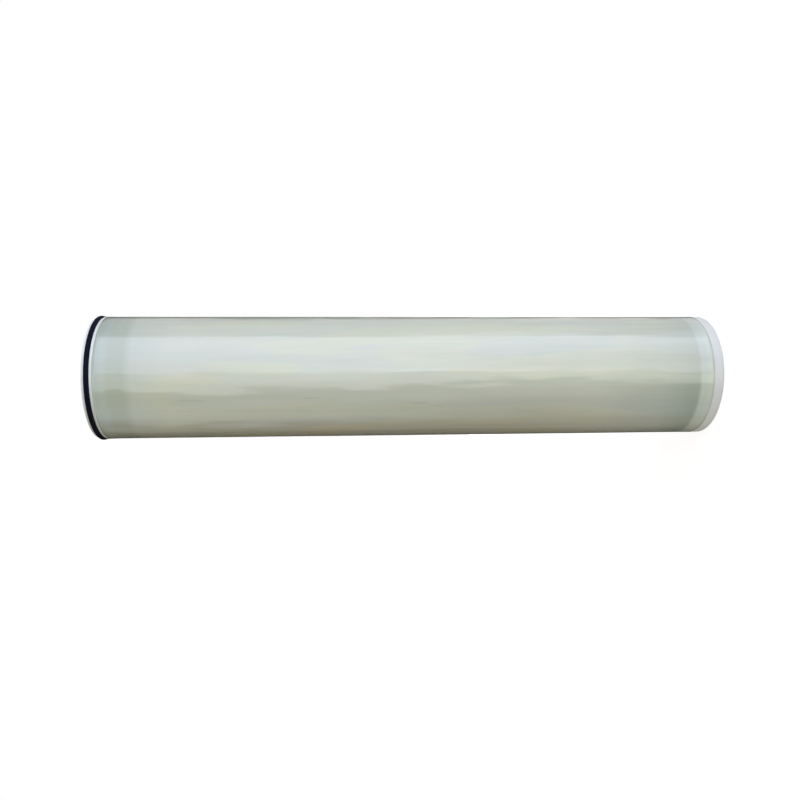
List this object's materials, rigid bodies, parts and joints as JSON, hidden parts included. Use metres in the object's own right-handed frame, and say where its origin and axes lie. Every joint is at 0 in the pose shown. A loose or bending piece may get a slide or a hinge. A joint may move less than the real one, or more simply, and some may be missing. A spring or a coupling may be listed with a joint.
{
  "type": "reverse osmosis membrane element",
  "caption": "Spiral wound reverse osmosis membrane element: fibreglass shell over a wound roll on a permeate tube, with moulded end caps and a black brine seal.",
  "frame": {"origin": "middle of the brine end's face, on which the element stands", "axes": "+Z along the element's axis, from the brine end to the feed end with the seal"},
  "size_m": [0.2044, 0.2044, 1.016],
  "materials": {
    "fibreglass": "glossy translucent resin over wound glass fibre",
    "cap_plastic": "satin moulded",
    "seal_rubber": "matte",
    "tube_plastic": "satin extruded",
    "carrier_cloth": "fine knitted cloth",
    "membrane": "smooth coated sheet",
    "spacer_net": "extruded net",
    "tape": "smooth film"
  },
  "bodies": {
    "root": {"frp_shell": "fibreglass", "feed_end_cap": "cap_plastic", "brine_end_cap": "cap_plastic", "brine_seal": "seal_rubber", "permeate_tube": "tube_plastic", "core_wrap": "carrier_cloth", "roll_tape": "tape", "membrane_leaf_1": "membrane", "membrane_leaf_2": "membrane", "membrane_leaf_3": "membrane", "membrane_leaf_4": "membrane", "membrane_leaf_5": "membrane", "membrane_leaf_6": "membrane", "membrane_leaf_7": "membrane", "membrane_leaf_8": "membrane", "feed_spacer_1": "spacer_net", "feed_spacer_2": "spacer_net", "feed_spacer_3": "spacer_net", "feed_spacer_4": "spacer_net", "feed_spacer_5": "spacer_net", "feed_spacer_6": "spacer_net", "feed_spacer_7": "spacer_net", "feed_spacer_8": "spacer_net"}
  },
  "joints": []
}
